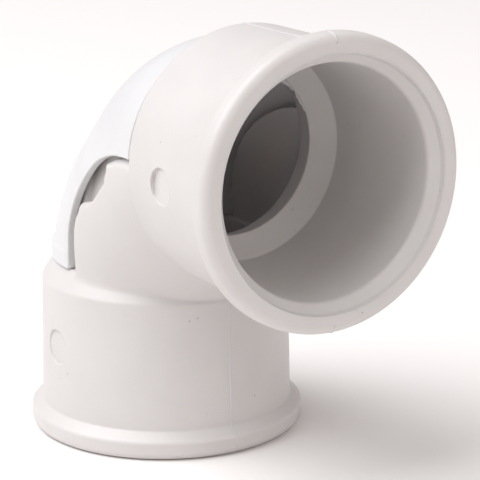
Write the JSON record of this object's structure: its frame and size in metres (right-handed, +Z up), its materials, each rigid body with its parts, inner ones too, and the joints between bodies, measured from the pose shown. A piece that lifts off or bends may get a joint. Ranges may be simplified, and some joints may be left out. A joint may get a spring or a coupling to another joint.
{
  "type": "inspection elbow fitting",
  "caption": "Right-angle plastic elbow with a beaded push-fit socket at each end and a lift-off cover over its heel.",
  "frame": {"origin": "centre of the seat in the lower socket, where the end of the conduit stops, on that socket's axis", "axes": "+Z up the lower socket's axis into the elbow, +X along the front socket's axis out of its mouth, +Y across the elbow"},
  "size_m": [0.0538, 0.0334, 0.0538],
  "materials": {
    "body_pvc": "satin moulded PVC, warm white",
    "cover_pvc": "satin moulded PVC, cool white"
  },
  "bodies": {
    "elbow": {"elbow_body": "body_pvc"},
    "cover": {"back_cover": "cover_pvc"}
  },
  "joints": [
    {"name": "cover_lift", "type": "slide", "parent": "elbow", "child": "cover", "axis": [-0.7071, 0, 0.7071], "range_m": [0, 0.03]}
  ]
}
